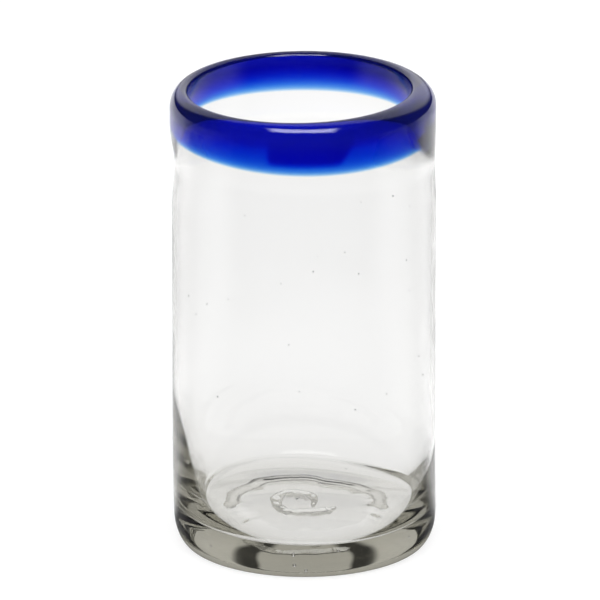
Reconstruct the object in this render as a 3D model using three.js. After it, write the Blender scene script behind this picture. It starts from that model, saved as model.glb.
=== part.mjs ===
// A hand-blown highball glass: a clear body with a thick base, a cobalt wrap fused over its top edge,
// and the torn ring of glass that the punty iron left under the base.
// Millimetres, +Z up. The origin is on the axis, at the table that the foot stands on.

import * as THREE from 'three';

// Driving dimensions: the whole glass
const glassHeight = 137;
const wallDiameter = 76;

// Driving dimensions: base
const heelHeight = 10;
const heelReach = 4.7;
const floorHeight = 11.5;
const floorCrown = 0.3;
const footRing = 4.8;
const kickHeight = 2;
const kickSlope = 7.5;

// Driving dimensions: cavity and wall
const cornerRound = 1.8;
const cornerDegrees = 61;
const flareHeight = 9;
const upperWall = 1.45;

// Driving dimensions: neck, with its depths counted down from the top of the glass
const neckDepth = 0.6;
const neckLength = 11;
const neckWaistDrop = 23;

// Driving dimensions: cobalt lip, counted down from the top of the glass in the same way
const lipStandOut = 0.25;
const lipThickness = 5.35;
const lipInnerRound = 1.4;
const lipShoulder = 6;
const lipSwellDrop = 9.5;
const beadFootDrop = 24;
const beadTopDrop = 4;

// Driving dimensions: joint between the clear wall and the cobalt
const bandHeight = 13.3;
const bandInnerHeight = 3.6;
const bandEdge = 0.35;
const cobaltDepth = 2.3;
const cobaltFade = 2.9;

// Driving dimensions: pontil scar
const scarLeft = 3.1;
const scarBack = 3.5;
const scarAcross = 14.4;
const scarDeep = 19.4;
const scarWidth = 3;
const scarThickness = 1.5;
const scarRound = 0.4;
const scarTail = 7.2;

// Facets round the axis, along a curve and over an edge
const turnFacets = 64;
const curveFacets = 5;
const edgeFacets = 2;

// Radii that follow from the driving dimensions
const cornerSlope = THREE.MathUtils.degToRad(cornerDegrees);
const baseFlare = flareHeight / Math.tan(cornerSlope);
const wallRadius = wallDiameter / 2;
const footRadius = wallRadius - heelReach;
const kickRadius = footRadius - footRing;
const crownRadius = kickRadius - kickSlope;
const floorRadius = wallRadius - upperWall - baseFlare - cornerRound * Math.sin(cornerSlope);
const lipRadius = wallRadius + lipStandOut;
const mouthRadius = lipRadius - lipThickness;
const crestRadius = mouthRadius + lipInnerRound;

// Heights that follow from the driving dimensions, from the floor up
const floorTop = floorHeight + floorCrown;
const cornerCentre = floorHeight + cornerRound;
const cornerTop = floorHeight + cornerRound * (1 - Math.cos(cornerSlope));
const flareTop = cornerTop + 4 * flareHeight;
const neckWaist = glassHeight - neckWaistDrop;
const neckFoot = neckWaist - neckLength;
const beadFoot = glassHeight - beadFootDrop;
const bandFoot = glassHeight - bandHeight;
const lipSwellTop = glassHeight - lipSwellDrop;
const shoulderFoot = glassHeight - lipShoulder;
const beadTop = glassHeight - beadTopDrop;
const bandInnerFoot = glassHeight - bandInnerHeight;
const mouthFoot = glassHeight - lipInnerRound;

const { lerp, smoothstep } = THREE.MathUtils;

// Outside of the clear wall at a height above the heel: straight, then drawn in to a slight neck
function neckedRadius(height) {
  return wallRadius - neckDepth * smoothstep(height, neckFoot, neckWaist);
}

// Outside of the whole glass: the wall and its neck, then the swell out to the lip
function outsideRadius(height) {
  return lerp(neckedRadius(height), lipRadius, smoothstep(height, neckWaist, lipSwellTop));
}

// Inside of the whole glass above the floor's corner: the wall thins as it rises, then closes in to the lip
function insideRadius(height) {
  const wall = upperWall + baseFlare * Math.exp((cornerTop - height) / flareHeight);
  return lerp(neckedRadius(height) - wall, mouthRadius, smoothstep(height, beadFoot, beadTop));
}

// Outside of the clear wall under the cobalt, which grows from a thin edge to a layer
function jointRadius(height) {
  const grown = 1 - Math.exp((bandFoot - height) / cobaltFade);
  return outsideRadius(height) - bandEdge - cobaltDepth * grown;
}

// Crowned floor of the cavity, a shallow paraboloid: its radius at a height
function floorRadiusAt(height) {
  return floorRadius * Math.sqrt((floorTop - height) / floorCrown);
}

// Profile points of one of these surfaces between two heights, both included
function surfaceRun(radiusAt, fromHeight, toHeight) {
  return Array.from({ length: curveFacets + 1 }, (_, step) => {
    const height = lerp(fromHeight, toHeight, step / curveFacets);
    return new THREE.Vector2(radiusAt(height), height);
  });
}

// Profile points of an arc of an ellipse, both ends included, with angles counted from outward
function arcRun(centreRadius, centreHeight, reach, rise, fromAngle, toAngle) {
  const clockwise = toAngle < fromAngle;
  const arc = new THREE.EllipseCurve(centreRadius, centreHeight, reach, rise, fromAngle, toAngle, clockwise);
  return arc.getPoints(curveFacets);
}

// Profile points of the kick-up, from the rim of its flat crown down to the ring that the glass stands on
function kickRun() {
  return Array.from({ length: curveFacets + 1 }, (_, step) => {
    const radius = lerp(crownRadius, kickRadius, step / curveFacets);
    return new THREE.Vector2(radius, kickHeight * (1 - smoothstep(radius, crownRadius, kickRadius)));
  });
}

// Runs of profile points turned about the axis, leaving out the doubled points where two runs meet
function turnedSolid(runs) {
  const tolerance = 1e-6;
  const points = runs.flat().filter((point, index, all) => {
    return index === 0 || point.distanceTo(all[index - 1]) > tolerance;
  });
  return new THREE.LatheGeometry(points, turnFacets).rotateX(Math.PI / 2);
}

// The joint between the clear wall and the cobalt: under the cobalt's layer, then slanting in to its top inside
const jointTop = new THREE.Vector2(insideRadius(bandInnerFoot) + bandEdge, bandInnerFoot);
const jointRun = [...surfaceRun(jointRadius, bandFoot, shoulderFoot), jointTop];

// Clear body: kick-up, foot ring, heel, wall and neck outside, then the cavity down to its crowned floor
function clearBodyGeometry() {
  return turnedSolid([
    [new THREE.Vector2(0, kickHeight)],
    kickRun(),
    arcRun(footRadius, heelHeight, heelReach, heelHeight, -Math.PI / 2, 0),
    surfaceRun(outsideRadius, neckFoot, neckWaist),
    surfaceRun(outsideRadius, neckWaist, bandFoot),
    jointRun,
    surfaceRun(insideRadius, bandInnerFoot, beadFoot),
    surfaceRun(insideRadius, beadFoot, neckFoot),
    surfaceRun(insideRadius, flareTop, cornerTop),
    arcRun(floorRadius, cornerCentre, cornerRound, cornerRound, cornerSlope - Math.PI / 2, -Math.PI / 2),
    surfaceRun(floorRadiusAt, floorHeight, floorTop),
  ]);
}

// Cobalt rim: a skirt that feathers down over the outside of the wall, a shoulder that falls away outwards
// from a crest near the mouth, and a throat that runs back down to the joint
function cobaltRimGeometry() {
  return turnedSolid([
    jointRun.toReversed(),
    surfaceRun(outsideRadius, bandFoot, shoulderFoot),
    arcRun(crestRadius, shoulderFoot, lipRadius - crestRadius, lipShoulder, 0, Math.PI / 2),
    arcRun(crestRadius, mouthFoot, lipInnerRound, lipInnerRound, Math.PI / 2, Math.PI),
    surfaceRun(insideRadius, mouthFoot, bandInnerFoot),
    [jointTop],
  ]);
}

// Pontil scar: in plan an oval ring, off the axis, whose front runs off to one side as a torn tail with a round
// knob. It is rounded over at its edges and hung from the flat crown of the kick-up.
function pontilScarGeometry() {
  const outerAcross = scarAcross / 2 - scarRound;
  const outerDeep = scarDeep / 2 - scarRound;
  const innerAcross = scarAcross / 2 - scarWidth + scarRound;
  const innerDeep = scarDeep / 2 - scarWidth + scarRound;
  const knobRadius = scarWidth / 2;
  const knobRound = knobRadius - scarRound;
  const knobX = scarAcross / 2 + scarTail - scarLeft - knobRadius;
  const knobY = scarBack - scarDeep / 4;
  const plan = new THREE.Shape();
  plan.absellipse(-scarLeft, scarBack, outerAcross, outerDeep, -Math.PI / 6, 1.5 * Math.PI, false);
  plan.quadraticCurveTo(knobX - knobRadius, scarBack - outerDeep, knobX, knobY - knobRound);
  plan.absarc(knobX, knobY, knobRound, -Math.PI / 2, Math.PI / 2, false);
  plan.closePath();
  const middle = new THREE.Path();
  middle.absellipse(-scarLeft, scarBack, innerAcross, innerDeep, 0, 2 * Math.PI, true);
  plan.holes.push(middle);
  const ring = new THREE.ExtrudeGeometry(plan, {
    depth: scarThickness - 2 * scarRound,
    bevelThickness: scarRound,
    bevelSize: scarRound,
    bevelSegments: edgeFacets,
    curveSegments: turnFacets / 4,
  });
  return ring.translate(0, 0, kickHeight - scarThickness + scarRound);
}

// One named piece of polished glass with its own colour
function glassPiece(name, geometry, colour) {
  const material = new THREE.MeshStandardMaterial({ color: colour, roughness: 0.05, metalness: 0 });
  const piece = new THREE.Mesh(geometry, material);
  piece.name = name;
  return piece;
}

const highballGlass = new THREE.Group();
highballGlass.add(
  glassPiece('clear_body', clearBodyGeometry(), '#e6e8e1'),
  glassPiece('cobalt_rim', cobaltRimGeometry(), '#0a1ebe'),
  glassPiece('pontil_scar', pontilScarGeometry(), '#d3d5cb'),
);

export default highballGlass;
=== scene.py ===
import math

import bpy
import numpy as np
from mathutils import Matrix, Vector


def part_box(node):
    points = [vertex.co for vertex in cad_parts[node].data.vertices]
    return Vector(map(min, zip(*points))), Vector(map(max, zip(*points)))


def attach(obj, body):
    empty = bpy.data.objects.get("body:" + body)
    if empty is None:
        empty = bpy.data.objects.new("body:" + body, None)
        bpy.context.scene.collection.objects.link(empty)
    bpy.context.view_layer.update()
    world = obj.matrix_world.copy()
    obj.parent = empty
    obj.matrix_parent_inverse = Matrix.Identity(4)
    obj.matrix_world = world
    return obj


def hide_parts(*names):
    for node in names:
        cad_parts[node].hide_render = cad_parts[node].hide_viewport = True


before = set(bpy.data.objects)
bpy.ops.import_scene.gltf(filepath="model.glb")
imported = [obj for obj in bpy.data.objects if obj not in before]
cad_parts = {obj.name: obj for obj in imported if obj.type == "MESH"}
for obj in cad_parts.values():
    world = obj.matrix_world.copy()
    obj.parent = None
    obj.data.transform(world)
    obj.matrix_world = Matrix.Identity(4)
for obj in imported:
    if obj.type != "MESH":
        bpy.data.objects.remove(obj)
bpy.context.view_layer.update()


# Clear body
# One gather of clear recycled glass, blown and rolled to a straight wall over a thick base. The heel is
# rounded and the bottom pushed up into a hollow, so that only a ring of it stands on the table. Air seeds
# are left in it.

MM = 0.001
rim_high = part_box("cobalt_rim")[1]
scar_low, scar_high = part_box("pontil_scar")

WALL_RADIUS = 38 * MM
HEEL_HEIGHT = 10 * MM
HEEL_REACH = 4.7 * MM
FOOT_RADIUS = WALL_RADIUS - HEEL_REACH

FLOOR_HEIGHT = 11.5 * MM
FLOOR_CROWN = 0.3 * MM
CORNER_ROUND = 1.6 * MM
CORNER_SLOPE = math.radians(64)
FLARE_HEIGHT = 8 * MM
BASE_FLARE = FLARE_HEIGHT / math.tan(CORNER_SLOPE)
UPPER_WALL = 1.45 * MM
CORNER_TOP = FLOOR_HEIGHT + CORNER_ROUND * (1 - math.cos(CORNER_SLOPE))
FLOOR_RADIUS = WALL_RADIUS - UPPER_WALL - BASE_FLARE - CORNER_ROUND * math.sin(CORNER_SLOPE)

LIP_HEIGHT = rim_high.z
LIP_RADIUS = rim_high.x
LIP_FOOT = 127.5 * MM
LIP_INNER_ROUND = 1.4 * MM
MOUTH_RADIUS = 32.9 * MM
MOUTH_SHIFT = 1.0 * MM
MOUTH_OVAL = 0.9 * MM
BEAD_FOOT = 113 * MM
BEAD_TOP = 133 * MM
NECK_FOOT = 103 * MM
NECK_WAIST = 114 * MM
NECK_DEPTH = 0.6 * MM

TURN_STEPS = 320
turn = np.linspace(0, 2 * np.pi, TURN_STEPS, endpoint=False)


def smooth_step(value, start, end):
    """The cubic ease 3t^2 - 2t^3, from 0 at start to 1 at end."""
    t = np.clip((value - start) / (end - start), 0, 1)
    return t * t * (3 - 2 * t)


def waves(value, parts):
    """A sum of sines of one value, each given by its height, its count and its phase."""
    return sum(height * np.sin(count * value + phase) for height, count, phase in parts)


def necked_radius(height):
    """Outside of the clear wall: straight, then eased in to the waist of the neck."""
    return WALL_RADIUS - NECK_DEPTH * smooth_step(height, NECK_FOOT, NECK_WAIST)


def outside_radius(height):
    """Outer surface of the whole glass: the necked wall, eased out again to the lip."""
    necked = necked_radius(height)
    return necked + (LIP_RADIUS - necked) * smooth_step(height, NECK_WAIST, LIP_FOOT)


def mouth_radius(turn):
    """Innermost radius of the lip: a circle, plus one wave for its thick right side and two for its oval."""
    return MOUTH_RADIUS - MOUTH_SHIFT * np.cos(turn) - MOUTH_OVAL * np.cos(2 * turn)


def inside_radius(height, turn):
    """Inner surface: the wall's thickness off the outside, then eased in to the mouth under the lip.
    The thickness falls off upwards as an exponential, from the flare over the base to the upper wall."""
    wall = UPPER_WALL + BASE_FLARE * np.exp(-(height - CORNER_TOP) / FLARE_HEIGHT)
    necked = necked_radius(height) - wall
    return necked + (mouth_radius(turn) - necked) * smooth_step(height, BEAD_FOOT, BEAD_TOP)


BAND_FOOT = 123.95 * MM
BAND_SAG = 1.52 * MM
BAND_SAG_TURN = math.radians(292)
BAND_SIDES = 0.76 * MM
BAND_SIDES_TURN = math.radians(7)


def band_foot(turn):
    """Height of the cobalt's lower edge outside: one wave for its sag at the front, and two for its sides."""
    sag = BAND_SAG * np.cos(turn - BAND_SAG_TURN)
    return BAND_FOOT - sag + BAND_SIDES * np.cos(2 * (turn - BAND_SIDES_TURN))


# Ends of the lap in degrees from the front of the glass, and the slant of its right end in degrees per metre
LAP_LEFT = -16.5
LAP_LEFT_EASE = 2.5
LAP_RIGHT = 13.0
LAP_RIGHT_EASE = 1.5
LAP_SLANT = 1.2 / MM


def lapped(turn, rise):
    """1 at the front where the two ends of the wrap lie over each other, 0 elsewhere. The right end is cut
    on a slant."""
    from_front = (np.degrees(turn) + 270) % 360 - 180
    right_end = LAP_RIGHT + LAP_SLANT * rise
    past_left = smooth_step(from_front, LAP_LEFT, LAP_LEFT + LAP_LEFT_EASE)
    past_right = smooth_step(from_front, right_end - LAP_RIGHT_EASE, right_end + LAP_RIGHT_EASE)
    return past_left * (1 - past_right)


JOINT_TOP = 133.4 * MM


def joint_height(share, turn):
    """Height on the joint of clear and cobalt, rising evenly from the cobalt's foot to its top inside."""
    return band_foot(turn) + (JOINT_TOP - band_foot(turn)) * share


COBALT_DEPTH = 2.05 * MM
COBALT_FADE = 2.9 * MM
COBALT_FADE_POWER = 1.15
BACK_THINNED = 0.28
BACK_POWER = 3
FRONT_TURNS_IN = 0.55
LAP_DEPTH = 3.0 * MM
LAP_STARTS = 2.0 * MM
LAP_WHOLE = 5.0 * MM
SHOULDER_DEPTH = 0.6 * MM
SHOULDER_STARTS = 126 * MM
SHOULDER_WHOLE = 133 * MM
DEEPEST_SHARE = 0.9


def joint_radius(share, turn):
    """Radius on that joint. The cobalt's depth grows from a feather edge as an exponential, is deeper where
    the ends of the wrap lap and thinner at the back, and at the top eases to the lip's whole thickness."""
    height = joint_height(share, turn)
    rise = height - band_foot(turn)
    at_back = smooth_step(np.sin(turn), 0.1, 0.8)
    grown = 1 - np.exp(-(rise / COBALT_FADE) ** COBALT_FADE_POWER)
    depth = COBALT_DEPTH * (1 - BACK_THINNED * at_back) * grown
    depth = depth + LAP_DEPTH * lapped(turn, rise) * smooth_step(rise, LAP_STARTS, LAP_WHOLE)
    depth = depth + SHOULDER_DEPTH * smooth_step(height, SHOULDER_STARTS, SHOULDER_WHOLE)
    outer = outside_radius(height)
    whole = outer - inside_radius(height, turn)
    depth = np.minimum(depth, DEEPEST_SHARE * whole)
    eased_in = (1 - at_back) * smooth_step(share, FRONT_TURNS_IN, 1) + at_back * share ** BACK_POWER
    return outer - depth - (whole - depth) * eased_in


KICK_HEIGHT = scar_high.z
KICK_RADIUS = 26 * MM
CROWN_RADIUS = 20 * MM
KICK_SWAY = 0.7 * MM
KICK_SWAY_LEAD = 3 * MM
KICK_WAVES = ((1, 2, 0.7), (0.7, 5, 2.1), (0.5, 11, 0), (0.2, 19, 1), (0.08, 37, 2))


def kick_height(radius, angle):
    """Underside: a flat crown, eased down to the ring that the glass stands on. The slope between them sways
    in and out in a few uneven waves, as a bottom pushed up by hand does."""
    off_crown = smooth_step(radius, CROWN_RADIUS - KICK_SWAY_LEAD, CROWN_RADIUS)
    on_slope = off_crown * (1 - smooth_step(radius, KICK_RADIUS, FOOT_RADIUS))
    swayed = radius + KICK_SWAY * waves(angle, KICK_WAVES) * on_slope
    return KICK_HEIGHT * (1 - smooth_step(swayed, CROWN_RADIUS, KICK_RADIUS))


CAVITY_DRIFT = 1.0 * MM
NECK_DRIFT = 0.28 * MM
LIP_DRIFT = -0.3 * MM
FOOT_DRIFT = 0.3 * MM
LIP_TILT = 0.015
FLOOR_TILT = 0.06


def place(radius, height, inner):
    """Grid of points from radius and height. Low down the cavity (inner 1) lies off to one side and its floor
    slopes, the foot, the neck and the lip sway a little off the axis, and the lip tilts."""
    cavity = CAVITY_DRIFT * inner * (1 - smooth_step(height, 22 * MM, 46 * MM))
    to_lip = smooth_step(height, NECK_WAIST, LIP_FOOT)
    neck = NECK_DRIFT * (smooth_step(height, NECK_FOOT, NECK_WAIST) - to_lip)
    lip = LIP_DRIFT * to_lip
    foot = FOOT_DRIFT * (1 - smooth_step(height, 4 * MM, 30 * MM))
    x = radius * np.cos(turn) + cavity + neck + lip + foot
    y = radius * np.sin(turn)
    lean = LIP_TILT * x * smooth_step(height, 60 * MM, 130 * MM)
    lean = lean + FLOOR_TILT * y * inner * (1 - smooth_step(height, 14 * MM, 50 * MM))
    return np.stack([x, y, height + lean], axis=-1)


def rows(count, start=0.0, end=1.0):
    """A column of evenly spaced values from start up to, but not at, end."""
    return np.linspace(start, end, count, endpoint=False)[:, None]


def around(values):
    """The same value all the way round, as a full grid."""
    return values + 0 * turn


POLE_RADIUS = 0.4 * MM
FLOOR_REACH = 0.985
CROWN_ROWS = 8
SLOPE_ROWS = 24
RING_ROWS = 12
HEEL_ROWS = 26
WALL_ROWS = 72
JOINT_ROWS = 34
THROAT_ROWS = 90
CORNER_ROWS = 20
FLOOR_ROWS = 20


def clear_body_parts():
    """The profile carried round the axis, from the kick-up's middle out, up, over and down to the floor."""
    under = np.concatenate([
        rows(CROWN_ROWS, POLE_RADIUS, CROWN_RADIUS),
        rows(SLOPE_ROWS, CROWN_RADIUS, KICK_RADIUS),
        rows(RING_ROWS, KICK_RADIUS, FOOT_RADIUS),
    ])
    heel = rows(HEEL_ROWS, -np.pi / 2, 0)
    heel_radius = around(FOOT_RADIUS + HEEL_REACH * np.cos(heel))
    heel_height = around(HEEL_HEIGHT * (1 + np.sin(heel)))
    wall_height = HEEL_HEIGHT + (band_foot(turn) - HEEL_HEIGHT) * rows(WALL_ROWS)
    joint = rows(JOINT_ROWS)
    throat_height = around(JOINT_TOP + (CORNER_TOP - JOINT_TOP) * rows(THROAT_ROWS))
    corner = rows(CORNER_ROWS, CORNER_SLOPE, 0)
    corner_radius = around(FLOOR_RADIUS + CORNER_ROUND * np.sin(corner))
    corner_height = around(FLOOR_HEIGHT + CORNER_ROUND * (1 - np.cos(corner)))
    outward = 1 - rows(FLOOR_ROWS, 0, FLOOR_REACH)
    return [
        place(around(under), kick_height(under, turn), 0),
        place(heel_radius, heel_height, 0),
        place(outside_radius(wall_height), wall_height, 0),
        place(joint_radius(joint, turn), joint_height(joint, turn), joint),
        place(inside_radius(throat_height, turn), throat_height, 1),
        place(corner_radius, corner_height, 1),
        place(around(FLOOR_RADIUS * outward), around(FLOOR_HEIGHT + FLOOR_CROWN * (1 - outward ** 2)), 1),
    ]


def grid_faces(row_count, wrap_rows=False):
    """Quads between neighbouring rows of a grid that closes round the turn, and on itself if asked."""
    row = np.arange(row_count if wrap_rows else row_count - 1)[:, None]
    column = np.arange(TURN_STEPS)[None, :]
    next_row = (row + 1) % row_count
    next_column = (column + 1) % TURN_STEPS
    corners = [row * TURN_STEPS + column, row * TURN_STEPS + next_column,
               next_row * TURN_STEPS + next_column, next_row * TURN_STEPS + column]
    return np.stack(corners, axis=-1).reshape(-1, 4)


def pole_faces(row, pole, flip):
    """Triangles from one row of the grid to a single point on the axis."""
    here = row * TURN_STEPS + np.arange(TURN_STEPS)
    beside = row * TURN_STEPS + (np.arange(TURN_STEPS) + 1) % TURN_STEPS
    edge = [beside, here] if flip else [here, beside]
    return np.stack(edge + [np.full(TURN_STEPS, pole)], axis=-1)


def mesh_piece(name, points, faces, material, fused_rows=None):
    """A smooth mesh object at the origin with one material. Its faces between two rows of the grid are marked
    as fused to another piece, and the edges along both rows kept sharp."""
    mesh = bpy.data.meshes.new(name)
    mesh.from_pydata(points.reshape(-1, 3).tolist(), [], faces)
    mesh.polygons.foreach_set("use_smooth", np.ones(len(mesh.polygons), bool))
    if fused_rows:
        first, last = fused_rows
        row_count = len(points.reshape(-1, 3)) // TURN_STEPS
        ends = np.empty(2 * len(mesh.edges), np.int32)
        mesh.edges.foreach_get("vertices", ends)
        end_rows = ends.reshape(-1, 2) // TURN_STEPS
        along = (end_rows[:, 0] == end_rows[:, 1]) & np.isin(end_rows[:, 0], [first, last % row_count])
        mesh.edges.foreach_set("use_edge_sharp", along)
        fused = np.zeros(len(faces), np.float32)
        fused[first * TURN_STEPS:last * TURN_STEPS] = 1
        mesh.attributes.new("fused", "FLOAT", "FACE").data.foreach_set("value", fused)
    mesh.materials.append(material)
    mesh.update()
    piece = bpy.data.objects.new(name, mesh)
    bpy.context.collection.objects.link(piece)
    return piece


class Wire:
    """One value in a node tree. Arithmetic on wires adds Math nodes, and node() adds any other node."""

    def __init__(self, tree, socket=None):
        self.tree = tree
        self.socket = socket

    def node(self, kind, settings=None, sockets=None):
        """A new node: its settings first, then the values of its sockets or the wires that feed them."""
        made = self.tree.nodes.new("ShaderNode" + kind)
        for name, value in (settings or {}).items():
            setattr(made, name, value)
        for name, value in (sockets or {}).items():
            if isinstance(value, Wire):
                self.tree.links.new(value.socket, made.inputs[name])
            else:
                made.inputs[name].default_value = value
        return made

    def wire(self, kind, output, settings=None, sockets=None):
        """The same, as the wire that leaves one of the node's outputs."""
        return Wire(self.tree, self.node(kind, settings, sockets).outputs[output])

    def wires(self, kind, outputs, settings=None, sockets=None):
        """The same, as the wires that leave several of its outputs."""
        made = self.node(kind, settings, sockets)
        return [Wire(self.tree, made.outputs[output]) for output in outputs]

    def maths(self, operation, first, second=0.0):
        """One Math node."""
        return self.wire("Math", 0, {"operation": operation}, {0: first, 1: second})

    def __add__(self, other):
        return self.maths("ADD", self, other)

    def __radd__(self, other):
        return self.maths("ADD", other, self)

    def __sub__(self, other):
        return self.maths("SUBTRACT", self, other)

    def __rsub__(self, other):
        return self.maths("SUBTRACT", other, self)

    def __mul__(self, other):
        return self.maths("MULTIPLY", self, other)

    def __rmul__(self, other):
        return self.maths("MULTIPLY", other, self)

    def __neg__(self):
        return self.maths("MULTIPLY", self, -1.0)

    def __abs__(self):
        return self.maths("ABSOLUTE", self)

    def eased(self, start, end):
        """0 below start, 1 above end and a smooth step between them."""
        return self.wire("MapRange", "Result", {"interpolation_type": "SMOOTHSTEP"},
                         {"Value": self, "From Min": start, "From Max": end})


GLASS_INDEX = 1.5
RIPPLE_SCALE = 55.0
RIPPLE_HEIGHT = 0.06 * MM
WORN_SCALE = 130.0
WORN_ROUGHNESS = 0.03


def glass_material(name, absorbed_per_metre, veil=None):
    """Glass whose body takes off light by the metre, red, green and blue apart. Its surface has a slow ripple
    and a few duller patches. A veil is a colour that the glass scatters a little, the share growing between
    two heights."""
    material = bpy.data.materials.new(name)
    material.use_nodes = True
    tree = material.node_tree
    tree.nodes.clear()
    start = Wire(tree)
    place_on = start.wire("TexCoord", "Object")
    ripple = start.wire("TexNoise", "Fac", None, {"Vector": place_on, "Scale": RIPPLE_SCALE, "Detail": 1.0})
    worn = start.wire("TexNoise", "Fac", None, {"Vector": place_on, "Scale": WORN_SCALE, "Detail": 4.0})
    bumped = start.wire("Bump", "Normal", None, {
        "Height": ripple, "Strength": 1.0, "Distance": RIPPLE_HEIGHT})
    surface = start.wire("BsdfPrincipled", "BSDF", None, {
        "Base Color": (1, 1, 1, 1), "Roughness": WORN_ROUGHNESS * worn.eased(0.5, 0.75), "Normal": bumped,
        "IOR": GLASS_INDEX, "Transmission Weight": 1.0})
    if veil:
        colour, share, foot, top = veil
        height = start.wires("SeparateXYZ", ["Z"], None, {"Vector": place_on})[0]
        scattered = start.wire("BsdfDiffuse", "BSDF", None, {"Color": colour})
        surface = start.wire("MixShader", "Shader", None, {
            0: share * height.eased(foot, top), 1: surface, 2: scattered})
    density = max(absorbed_per_metre)
    passed = [1 - share / density for share in absorbed_per_metre]
    volume = start.wire("VolumeAbsorption", "Volume", None, {"Color": (*passed, 1), "Density": density})
    fused = start.wire("Attribute", "Fac", {"attribute_name": "fused"})
    passed_through = start.wire("BsdfTransparent", "BSDF")
    surface = start.wire("MixShader", "Shader", None, {0: fused, 1: surface, 2: passed_through})
    start.node("OutputMaterial", None, {"Surface": surface, "Volume": volume})
    return material


SEED_SIDES = 8
SEED_RINGS = 4


def seed_shells(centres, widths, first_vertex):
    """Air seeds: small globes of four rings and two poles, facing inwards, as the glass is outside them."""
    sides = np.linspace(0, 2 * np.pi, SEED_SIDES, endpoint=False)
    down = np.linspace(0, np.pi, SEED_RINGS + 2)[1:-1, None]
    ring_height = np.cos(down) + 0 * sides
    rings = np.stack([np.sin(down) * np.cos(sides), np.sin(down) * np.sin(sides), ring_height], axis=-1)
    globe = np.concatenate([rings.reshape(-1, 3), [[0, 0, 1], [0, 0, -1]]])
    points = np.asarray(centres)[:, None, :] + np.asarray(widths)[:, None, None] / 2 * globe
    step = np.arange(SEED_SIDES)
    beside = (step + 1) % SEED_SIDES
    ring = SEED_SIDES * np.arange(SEED_RINGS - 1)[:, None]
    next_ring = ring + SEED_SIDES
    sides_of_ring = [ring + step, ring + beside, next_ring + beside, next_ring + step]
    quads = np.stack(sides_of_ring, axis=-1).reshape(-1, 4)
    top_pole = SEED_SIDES * SEED_RINGS
    last_ring = top_pole - SEED_SIDES
    top = np.stack([beside, step, 0 * step + top_pole], axis=-1)
    bottom = np.stack([last_ring + step, last_ring + beside, 0 * step + top_pole + 1], axis=-1)
    offsets = first_vertex + len(globe) * np.arange(len(centres))[:, None, None]
    faces = []
    for corners in (quads, top, bottom):
        faces += (corners + offsets).reshape(-1, corners.shape[1]).tolist()
    return points.reshape(-1, 3), faces


def in_wall(turn_degrees, height):
    """Points half-way through the wall, at a turn in degrees and a height."""
    angle = np.radians(turn_degrees)
    radius = (outside_radius(height) + inside_radius(height, angle)) / 2
    return np.stack([radius * np.cos(angle), radius * np.sin(angle), height], axis=-1)


# Turn in degrees, height and width of each seed in the wall, in millimetres
WALL_SEEDS = np.array([
    (-151, 80, 0.5), (-145, 75.5, 0.45), (-86, 93.5, 0.5), (-84, 98, 0.35), (-72, 98.7, 0.4),
    (-100, 89.7, 0.4), (-92, 57.5, 0.35), (-64, 112.9, 0.35), (-47, 112.8, 0.5), (-39, 92.5, 0.45),
    (-37, 83, 0.4), (-125, 83, 0.4), (-131, 52.9, 0.5), (-67, 51.1, 0.45), (-25, 55.4, 0.6),
    (-29, 61.7, 0.5), (-51, 54, 0.4), (64, 70, 0.5), (118, 88, 0.4), (97, 47, 0.45), (141, 64, 0.5),
    (32, 95, 0.4),
])
# Place and width of each seed in the thick base, in millimetres
BASE_SEEDS = np.array([
    (-2.9, -33.5, 7.4, 1.2), (-2.6, -33.4, 4.4, 1.1), (0.6, -32.4, 2.8, 0.9), (9.5, -33.0, 8.4, 0.8),
    (-25.0, -21.0, 6.0, 0.7), (27.5, -16.0, 7.0, 0.6), (12.0, 29.0, 6.2, 0.7),
])

CLEAR_ABSORBS = (15.0, 15.4, 17.6)
body_parts = clear_body_parts()
body_grid = np.concatenate(body_parts)
body_rows = len(body_grid)
part_starts = np.cumsum([0] + [len(part) for part in body_parts]).tolist()
joint_rows = part_starts[3:5]
axis_ends = np.array([[0, 0, KICK_HEIGHT], [CAVITY_DRIFT, 0, FLOOR_HEIGHT + FLOOR_CROWN]])
bottom_pole = body_rows * TURN_STEPS
floor_pole = bottom_pole + 1
seed_centres = np.concatenate([in_wall(WALL_SEEDS[:, 0], WALL_SEEDS[:, 1] * MM), BASE_SEEDS[:, :3] * MM])
seed_widths = np.concatenate([WALL_SEEDS[:, 2], BASE_SEEDS[:, 3]]) * MM
seed_points, seed_faces = seed_shells(seed_centres, seed_widths, floor_pole + 1)
body_points = np.concatenate([body_grid.reshape(-1, 3), axis_ends, seed_points])
body_faces = grid_faces(body_rows).tolist()
body_faces += pole_faces(0, bottom_pole, True).tolist()
body_faces += pole_faces(body_rows - 1, floor_pole, False).tolist()
body_faces += seed_faces
clear_body = mesh_piece("clear_body_glass", body_points, body_faces,
                        glass_material("clear_recycled_glass", CLEAR_ABSORBS), fused_rows=joint_rows)
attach(clear_body, "root")
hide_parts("clear_body")


# Cobalt rim
# A thread of cobalt glass wound over the hot lip, melted in and rounded with the jacks. It is fused to the
# clear wall along a slanting joint, so the blue thins away downwards.

COBALT_ABSORBS = (4000.0, 1900.0, 260.0)
COBALT_VEIL_COLOUR = (0.03, 0.05, 0.6, 1)
COBALT_VEIL = (COBALT_VEIL_COLOUR, 0.075, 127 * MM, 133 * MM)
LIP_SHOULDER = 6 * MM
JOINT_LAP = 0.03 * MM
JOINT_LAP_EASE = 0.15
SKIRT_ROWS = 40
SHOULDER_ROWS = 24
MOUTH_ROWS = 14
RIM_THROAT_ROWS = 8


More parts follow.
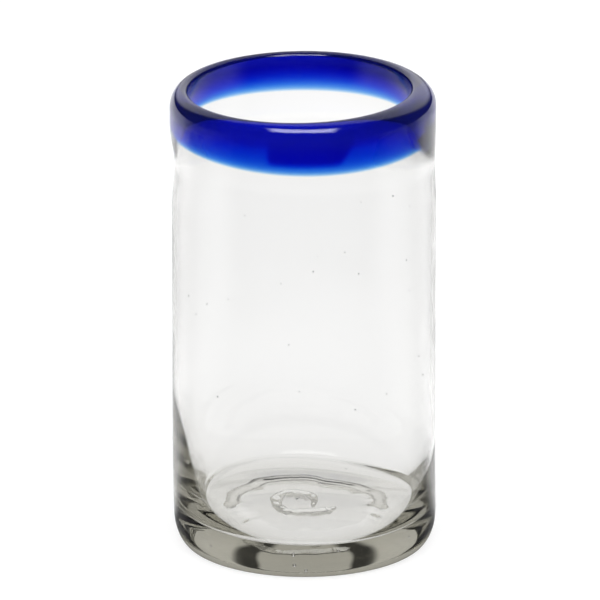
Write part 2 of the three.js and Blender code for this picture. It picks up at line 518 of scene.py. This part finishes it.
def cobalt_rim_parts():
    """The lip's section carried round: up the outside, over the crest, down the throat and back along the
    joint. There the cobalt laps a hair into the clear glass, so that no air is left between them."""
    shoulder_foot = LIP_HEIGHT - LIP_SHOULDER
    skirt_height = band_foot(turn) + (shoulder_foot - band_foot(turn)) * rows(SKIRT_ROWS)
    crest = mouth_radius(turn) + LIP_INNER_ROUND
    shoulder = rows(SHOULDER_ROWS, 0, np.pi / 2)
    shoulder_radius = crest + (LIP_RADIUS - crest) * np.cos(shoulder)
    shoulder_height = around(shoulder_foot + LIP_SHOULDER * np.sin(shoulder))
    mouth = rows(MOUTH_ROWS, np.pi / 2, np.pi)
    mouth_foot = LIP_HEIGHT - LIP_INNER_ROUND
    mouth_height = around(mouth_foot + LIP_INNER_ROUND * np.sin(mouth))
    throat_height = around(mouth_foot + (JOINT_TOP - mouth_foot) * rows(RIM_THROAT_ROWS))
    joint = 1 - rows(JOINT_ROWS)
    lap = JOINT_LAP * smooth_step(joint, 0, JOINT_LAP_EASE) * smooth_step(1 - joint, 0, JOINT_LAP_EASE)
    return [
        place(outside_radius(skirt_height), skirt_height, 0),
        place(shoulder_radius, shoulder_height, 0),
        place(crest + LIP_INNER_ROUND * np.cos(mouth), mouth_height, 0),
        place(inside_radius(throat_height, turn), throat_height, 1),
        place(joint_radius(joint, turn) - lap, joint_height(joint, turn) - lap, joint),
    ]


rim_parts = cobalt_rim_parts()
rim_grid = np.concatenate(rim_parts)
rim_joint_start = len(rim_grid) - JOINT_ROWS
cobalt_rim = mesh_piece("cobalt_rim_glass", rim_grid, grid_faces(len(rim_grid), wrap_rows=True).tolist(),
                        glass_material("cobalt_glass", COBALT_ABSORBS, COBALT_VEIL),
                        fused_rows=[rim_joint_start, len(rim_grid)])
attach(cobalt_rim, "root")
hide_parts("cobalt_rim")


# Pontil scar
# The torn thread of clear glass that the punty iron left in the hollow: an open ring whose front end runs off
# to one side and stops in a round knob. It is fused to the crown of the kick-up.

SCAR_CENTRE = np.array([-3.1, 3.5]) * MM
SCAR_ACROSS = 5.7 * MM
SCAR_DEEP = 8.2 * MM
SCAR_WIDTH = 3.0 * MM
SCAR_THICKNESS = scar_high.z - scar_low.z
SCAR_START = math.radians(-30)
SCAR_FRONT = math.radians(270)
KNOB = np.array([7.8, -1.0]) * MM
KNOB_SWELL = 0.25
TORN_WAVES = ((0.16, 17, 0), (0.1, 41, 1), (0.06, 97, 0))
THICKNESS_SHARE = 0.8
THICKNESS_WAVES = ((0.14, 23, 2), (0.06, 71, 0))
CRUMB_HEIGHT = 0.16
THIN_START = 0.45
END_POWER = 32
RING_STEPS = 96
TAIL_STEPS = 40
SECTION_STEPS = 20


def scar_path():
    """Most of an ellipse from its right side over the back to its front, then a curve off to the knob."""
    angle = np.linspace(SCAR_START, SCAR_FRONT, RING_STEPS, endpoint=False)
    ring = SCAR_CENTRE + np.stack([SCAR_ACROSS * np.cos(angle), SCAR_DEEP * np.sin(angle)], axis=-1)
    t = np.linspace(0, 1, TAIL_STEPS)[:, None]
    front = SCAR_CENTRE - [0, SCAR_DEEP]
    bend = np.array([KNOB[0], front[1]])
    tail = (1 - t) ** 2 * front + 2 * t * (1 - t) * bend + t ** 2 * KNOB
    return np.concatenate([ring, tail])


def pontil_scar_grid():
    """A half-round section carried along the path, flat on the kick-up and thinning to a point at both ends.
    Its width, thickness and rounding waver, as torn glass does."""
    path = scar_path()
    along = np.gradient(path, axis=0)
    along /= np.linalg.norm(along, axis=1, keepdims=True)
    side = np.stack([-along[:, 1], along[:, 0]], axis=-1)
    share = np.linspace(0, 1, len(path))[:, None]
    torn = 1 + waves(share, TORN_WAVES)
    knob = 1 + KNOB_SWELL * smooth_step(share, 0.88, 0.96)
    swelling = THIN_START + (1 - THIN_START) * smooth_step(share, 0, 0.2)
    ends = np.sqrt(np.clip(1 - (2 * share - 1) ** END_POWER, 0, 1)) * swelling
    half_width = SCAR_WIDTH / 2 * torn * knob * ends
    thickness = SCAR_THICKNESS * (THICKNESS_SHARE + waves(share, THICKNESS_WAVES)) * ends
    angle = np.linspace(0, 2 * np.pi, SECTION_STEPS, endpoint=False)[None, :]
    offset = half_width * np.cos(angle)
    crumbs = 1 + CRUMB_HEIGHT * np.sin(61 * share + 3 * angle) * np.sin(37 * share - 2 * angle)
    drop = thickness * crumbs * np.maximum(np.sin(angle), 0) - JOINT_LAP * (np.sin(angle) < 0)
    spot = path[:, None, :] + side[:, None, :] * offset[:, :, None]
    top = kick_height(np.linalg.norm(spot, axis=-1), np.arctan2(spot[:, :, 1], spot[:, :, 0]))
    return np.concatenate([spot, (top - drop)[:, :, None]], axis=-1)


scar_grid = pontil_scar_grid()
scar_points = len(scar_grid) * SECTION_STEPS
scar_row = np.arange(len(scar_grid) - 1)[:, None] * SECTION_STEPS
scar_next_row = scar_row + SECTION_STEPS
scar_column = np.arange(SECTION_STEPS)[None, :]
scar_beside = (scar_column + 1) % SECTION_STEPS
scar_corners = [scar_row + scar_column, scar_next_row + scar_column,
                scar_next_row + scar_beside, scar_row + scar_beside]
scar_faces = np.stack(scar_corners, axis=-1).reshape(-1, 4).tolist()
scar_faces.append(list(range(SECTION_STEPS)))
scar_faces.append(list(range(scar_points - 1, scar_points - SECTION_STEPS - 1, -1)))
pontil_scar = mesh_piece("pontil_scar_glass", scar_grid, scar_faces,
                         glass_material("pontil_glass", CLEAR_ABSORBS))
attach(pontil_scar, "root")
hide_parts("pontil_scar")


# Table
# A plain white table top, which takes the glass's soft shadow. It glows where it is seen straight or through
# the glass, and near the glass it has painted light where the glass mirrors it from inside. Wherever it is
# mirrored, its paint has painted shade to the sides and front, standing in for a darker room there.

TABLE_SIZE = 12.0
TABLE_GAP = 0.2 * MM
TABLE_PAINT = 0.35
TABLE_GLOW = 0.72
THROUGH_GLASS_PAINT = 0.12
THROUGH_GLASS_GLOW = 0.93
MIRRORED_PAINT = 0.97
# Painted light near the glass and painted shade to the sides and front, both only in the table's reflections
MIRRORED_INSIDE_PAINTED_LIGHT = 0.5
SIDE_PAINTED_SHADE = 0.74
FRONT_PAINTED_SHADE = 0.19
INSIDE_PAINTED_SHADE_LESS = 0.85
table_square = np.array([[-1, -1, 0], [1, -1, 0], [1, 1, 0], [-1, 1, 0]])
table_corners = TABLE_SIZE / 2 * table_square - [0, 0, TABLE_GAP]
table_white = bpy.data.materials.new("table_white")
table_white.use_nodes = True
table_white.node_tree.nodes.clear()
table_tree = Wire(table_white.node_tree)
glossy_depth, transmission_depth, scattered = table_tree.wires(
    "LightPath", ["Glossy Depth", "Transmission Depth", "Is Diffuse Ray"])
mirrored = table_tree.maths("MINIMUM", glossy_depth, 1.0)
through_glass = table_tree.maths("MINIMUM", transmission_depth, 1.0)
table_place = table_tree.wire("TexCoord", "Object")
table_heading = table_tree.wire("VectorMath", "Vector", {"operation": "NORMALIZE"}, {0: table_place})
table_reach = table_tree.wire("VectorMath", "Value", {"operation": "LENGTH"}, {0: table_place})
towards_camera = -table_tree.wires("SeparateXYZ", ["Y"], None, {"Vector": table_heading})[0]
# Painted shade: mirrored, the table is darker to the sides and front, mostly lifted inside the glass except
# far in front
side_front_painted_shade = SIDE_PAINTED_SHADE * towards_camera.eased(-0.6, -0.25) + FRONT_PAINTED_SHADE * towards_camera.eased(-0.1, 0.6)
far_front = towards_camera.eased(0.0, 0.5) * table_reach.eased(0.08, 0.2)
mirrored_painted_shade = side_front_painted_shade * (1 - INSIDE_PAINTED_SHADE_LESS * through_glass * (1 - far_front))
seen_paint = TABLE_PAINT + (THROUGH_GLASS_PAINT - TABLE_PAINT) * through_glass
table_colour = seen_paint * (1 - mirrored) + mirrored * (MIRRORED_PAINT - mirrored_painted_shade)
seen_glow = TABLE_GLOW + (THROUGH_GLASS_GLOW - TABLE_GLOW) * through_glass
# Painted light: near the glass the table glows where the glass mirrors it from inside, standing in for light
# that comes through the glass
near_glass = 1 - table_reach.eased(0.08, 0.25)
painted_light_near_glass = MIRRORED_INSIDE_PAINTED_LIGHT * mirrored * through_glass * near_glass
glow_colour = (seen_glow * (1 - mirrored) + painted_light_near_glass) * (1 - scattered)
table_paint = table_tree.wire("BsdfDiffuse", "BSDF", None, {"Color": table_colour})
table_glow = table_tree.wire("Emission", "Emission", None, {"Color": glow_colour, "Strength": 1.0})
table_sum = table_tree.wire("AddShader", "Shader", None, {0: table_paint, 1: table_glow})
table_tree.node("OutputMaterial", None, {"Surface": table_sum})
table = mesh_piece("table", table_corners, [[0, 1, 2, 3]], table_white)


# Studio light
# A white room, as white as the table where it is seen straight or through the glass. It lights the scene with
# a sweep behind and a soft box high over the camera. Mirrored in the glass, it has darker parts.

STRAIGHT_WHITE = 1.03
world = bpy.data.worlds.new("studio")
bpy.context.scene.world = world
world.use_nodes = True
world.node_tree.nodes.clear()
sky = Wire(world.node_tree)
heading = sky.wire("TexCoord", "Generated")
across, away, up = sky.wires("SeparateXYZ", "XYZ", None, {"Vector": heading})
glossy_depth, transmission_depth, is_diffuse = sky.wires(
    "LightPath", ["Glossy Depth", "Transmission Depth", "Is Diffuse Ray"])
reflected = sky.maths("MINIMUM", glossy_depth, 1.0)
inside_glass = sky.maths("MINIMUM", transmission_depth, 1.0)

# Light that falls on the table
sweep = away.eased(0.0, 0.9) * (1 - up.eased(0.05, 0.45))
overhead = up.eased(0.6, 0.95)
box_height = up.eased(0.42, 0.5) * (1 - up.eased(0.68, 0.76))
soft_box = (1 - abs(across).eased(0.35, 0.5)) * box_height * (-away).eased(0.2, 0.4)
lit = 0.45 + 0.55 * sweep + 0.6 * overhead + 7.0 * soft_box

# What the glass mirrors on its outside: a dark room, with a bright high back wall and the soft box
high_back = (0.6 * away + 0.8 * up).eased(0.55, 0.72)
seen_outside = 0.03 + 1.15 * high_back + 10 * soft_box

# What it mirrors from inside: a bright back with a dark ring low in it, a lighter patch to each side, and a
# darker ceiling. The ring lies between two ovals, given by their half widths and half heights.
RING_HEIGHT = 0.25
INNER_OVAL = (0.254, 0.105)
OUTER_OVAL = (0.4016, 0.125)


def out_of_oval(half_width, half_height):
    """Square of the distance from an oval's middle, counted in its half width and height: 1 on its edge."""
    aside = across * (1 / half_width)
    above = (up - RING_HEIGHT) * (1 / half_height)
    return aside * aside + above * above


dark_ring = out_of_oval(*INNER_OVAL).eased(0.85, 1.15) * (1 - out_of_oval(*OUTER_OVAL).eased(0.85, 1.2))
dark_ring = dark_ring * away.eased(0.3, 0.5)
side_glow = abs(across).eased(0.33, 0.4) * (1 - up.eased(0.3, 0.4)) * away.eased(0.2, 0.4)
back_wall = 0.75 + 0.3 * away.eased(0.3, 0.6) - 0.95 * dark_ring + 0.15 * side_glow
ceiling = up.eased(0.7, 0.85)
seen_inside = back_wall * (1 - 0.7 * ceiling) + 2.5 * soft_box

mirror_view = (1 - inside_glass) * seen_outside + inside_glass * seen_inside
straight = (1 - reflected) * (1 - is_diffuse)
room_light = STRAIGHT_WHITE * straight + lit * is_diffuse * (1 - reflected) + mirror_view * reflected
light = sky.wire("Background", "Background", None, {"Color": room_light, "Strength": 1.0})
sky.node("OutputWorld", None, {"Surface": light})


# Camera
# A long lens nearly three metres off, about eighteen degrees above the table. Light may bounce often enough
# to cross every wall of the glass.

CAMERA_BACK = 2.82
CAMERA_UP = 1.0
LENS = 618.0
FAR_CLIP = 50.0
AIM = (-0.00112, 0.0, 0.0727)
lens = bpy.data.cameras.new("camera")
lens.lens = LENS
lens.clip_end = FAR_CLIP
camera = bpy.data.objects.new("camera", lens)
camera.location = (AIM[0], -CAMERA_BACK, CAMERA_UP)
look_down = math.atan2(CAMERA_UP - AIM[2], CAMERA_BACK)
camera.rotation_euler = (math.pi / 2 - look_down, 0, 0)
bpy.context.collection.objects.link(camera)
scene = bpy.context.scene
scene.camera = camera
scene.view_settings.view_transform = "Standard"
scene.cycles.max_bounces = 32
scene.cycles.transmission_bounces = 32
scene.cycles.glossy_bounces = 16
